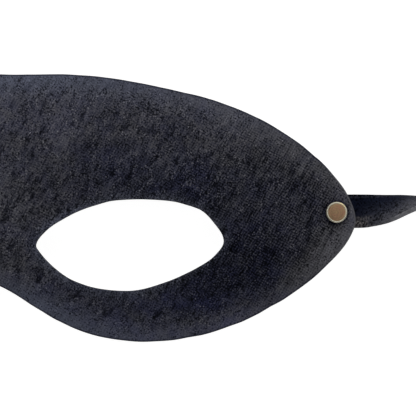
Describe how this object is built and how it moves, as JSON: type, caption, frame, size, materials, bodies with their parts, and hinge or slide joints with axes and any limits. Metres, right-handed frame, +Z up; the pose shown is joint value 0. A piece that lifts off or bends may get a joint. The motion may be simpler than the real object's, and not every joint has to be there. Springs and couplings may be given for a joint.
{
  "type": "leather mask",
  "caption": "Black leather half-face mask, gently domed, with almond eye holes and narrow tie straps fixed behind its tips by brass cap rivets.",
  "frame": {"origin": "on the surface that the mask lies on, below the middle of the leather's outline box, straps left out", "axes": "+X to the mask's right tip as seen from above, +Y to the brow, +Z up, out of the mask's front"},
  "size_m": [0.3676, 0.09, 0.0096],
  "materials": {
    "mask_leather": "matte black grain leather with a fine nap",
    "strap_leather": "smooth satin black leather",
    "antique_brass": "antique brass, brown face with a worn pale rim"
  },
  "bodies": {
    "root": {"mask": "mask_leather", "strap_right": "strap_leather", "strap_right_coil": "strap_leather", "strap_left": "strap_leather", "strap_left_coil": "strap_leather", "rivet_cap_right": "antique_brass", "rivet_cap_left": "antique_brass", "rivet_post_right": "antique_brass", "rivet_post_left": "antique_brass"}
  },
  "joints": []
}
